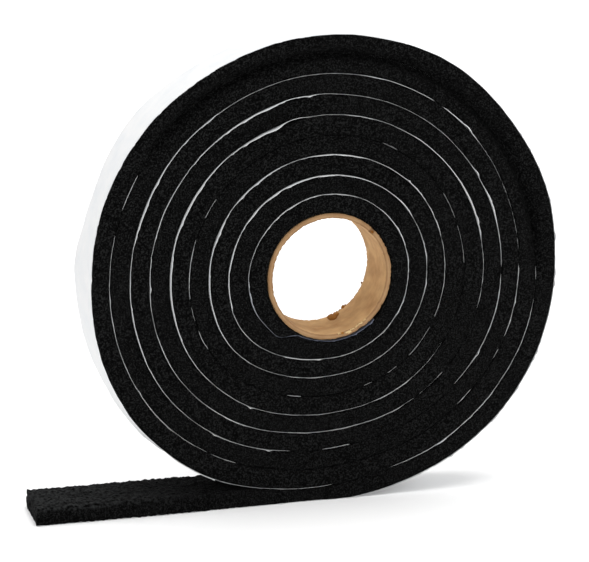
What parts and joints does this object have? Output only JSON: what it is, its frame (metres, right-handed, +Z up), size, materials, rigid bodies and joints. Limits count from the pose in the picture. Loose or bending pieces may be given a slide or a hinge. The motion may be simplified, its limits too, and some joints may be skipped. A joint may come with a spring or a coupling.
{
  "type": "foam weatherstrip roll",
  "caption": "Roll of black self-adhesive foam weatherstrip with a white release liner, wound on a cardboard core, with a straight free tail on the floor.",
  "frame": {"origin": "on the floor under the roll's axis, at the middle of the strip's width, on the liner's flat underside", "axes": "+X to the right along the floor, away from the free tail; +Y along the roll's axis, away from the viewer; +Z up"},
  "size_m": [0.1738, 0.0198, 0.1525],
  "materials": {
    "black_foam": "matt closed-cell foam with fine grain",
    "white_liner": "smooth white release paper, faint sheen",
    "brown_board": "matt brown cardboard with paper fibres"
  },
  "bodies": {
    "root": {"foam_strip": "black_foam", "release_liner": "white_liner", "core_tube": "brown_board"}
  },
  "joints": []
}
